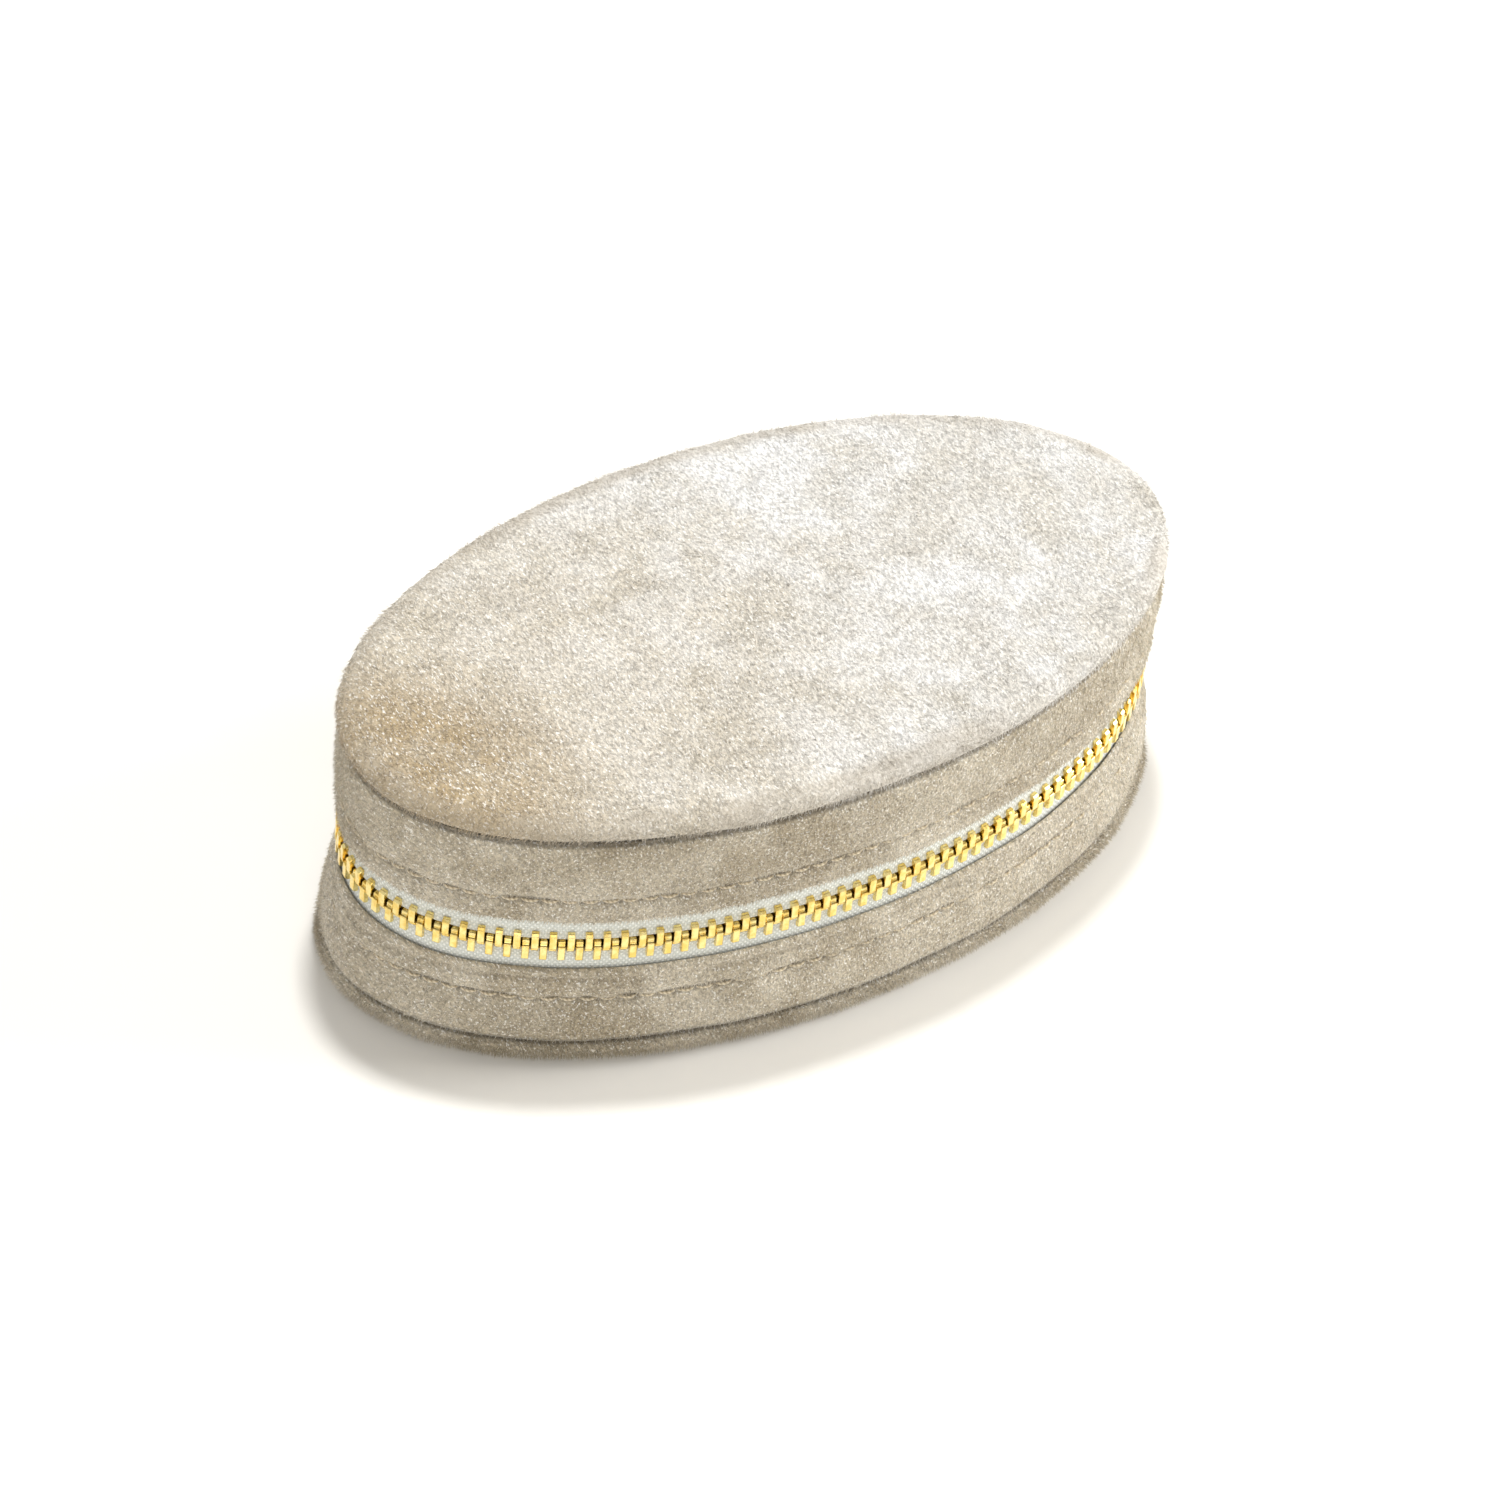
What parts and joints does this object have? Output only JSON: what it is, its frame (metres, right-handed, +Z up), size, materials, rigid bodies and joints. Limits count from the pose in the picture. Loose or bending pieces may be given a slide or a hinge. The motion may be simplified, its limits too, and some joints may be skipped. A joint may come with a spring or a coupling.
{
  "type": "travel jewelry case",
  "caption": "Oval velvet-covered travel jewelry case whose mirrored lid is hinged at the back and closed by a metal zip, with ring rolls and divided cells inside.",
  "frame": {"origin": "middle of the underside, on the surface that the case rests on", "axes": "+X along the length, +Y to the hinge at the back, +Z up"},
  "size_m": [0.1506, 0.0836, 0.0513],
  "materials": {
    "velvet": "crushed pile",
    "lining": "brushed suede cloth",
    "board": "pressed fibre board",
    "foam": "open-cell foam",
    "thread": "spun polyester thread",
    "zip_tape": "woven twill tape",
    "mirror": "silvered glass",
    "zip_metal": "polished gold-coloured plating",
    "slider_metal": "polished gold-coloured plating"
  },
  "bodies": {
    "base": {"base_bottom_cover": "velvet", "base_bottom_board": "board", "base_floor_foam": "foam", "base_floor_lining": "lining", "base_side_band": "velvet", "base_side_board": "board", "base_side_lining": "lining", "base_stitching": "thread", "zip_tape_lower": "zip_tape", "zip_teeth_lower": "zip_metal", "zip_tape_end": "zip_tape", "zip_teeth_end": "zip_metal", "zip_top_stops": "zip_metal", "zip_bottom_stop": "zip_metal", "hinge_panel": "velvet", "hinge_lining": "lining", "divider_left": "lining", "divider_right": "lining", "divider_cross": "lining", "ring_roll_1": "lining", "ring_roll_2": "lining", "ring_roll_3": "lining", "ring_roll_4": "lining", "ring_roll_cores": "foam"},
    "lid": {"lid_top_cover": "velvet", "lid_top_foam": "foam", "lid_top_board": "board", "lid_side_band": "velvet", "lid_side_board": "board", "lid_side_lining": "lining", "lid_lining_panel": "lining", "lid_mirror_card": "board", "lid_mirror": "mirror", "lid_stitching": "thread", "zip_tape_upper": "zip_tape", "zip_teeth_upper": "zip_metal"},
    "slider": {"slider_body": "slider_metal", "slider_crown": "slider_metal"},
    "pull": {"pull_tab": "slider_metal"}
  },
  "joints": [
    {"name": "lid_hinge", "type": "hinge", "parent": "base", "child": "lid", "pos_m": [0, 0.0415, 0.024], "axis": [-1, 0, 0], "range_deg": [0, 150], "deforming": ["hinge_panel", "hinge_lining"]},
    {"name": "slider_travel", "type": "hinge", "parent": "base", "child": "slider", "pos_m": [0.01049, -0.05044, 0.024], "axis": [0, 0, -1], "range_deg": [0, 14], "deforming": ["zip_teeth_upper", "zip_teeth_lower", "zip_teeth_end"]},
    {"name": "pull_swing", "type": "hinge", "parent": "slider", "child": "pull", "pos_m": [0.03175, 0.0387, 0.024], "axis": [0.9727, -0.232, 0], "range_deg": [0, 165]}
  ]
}
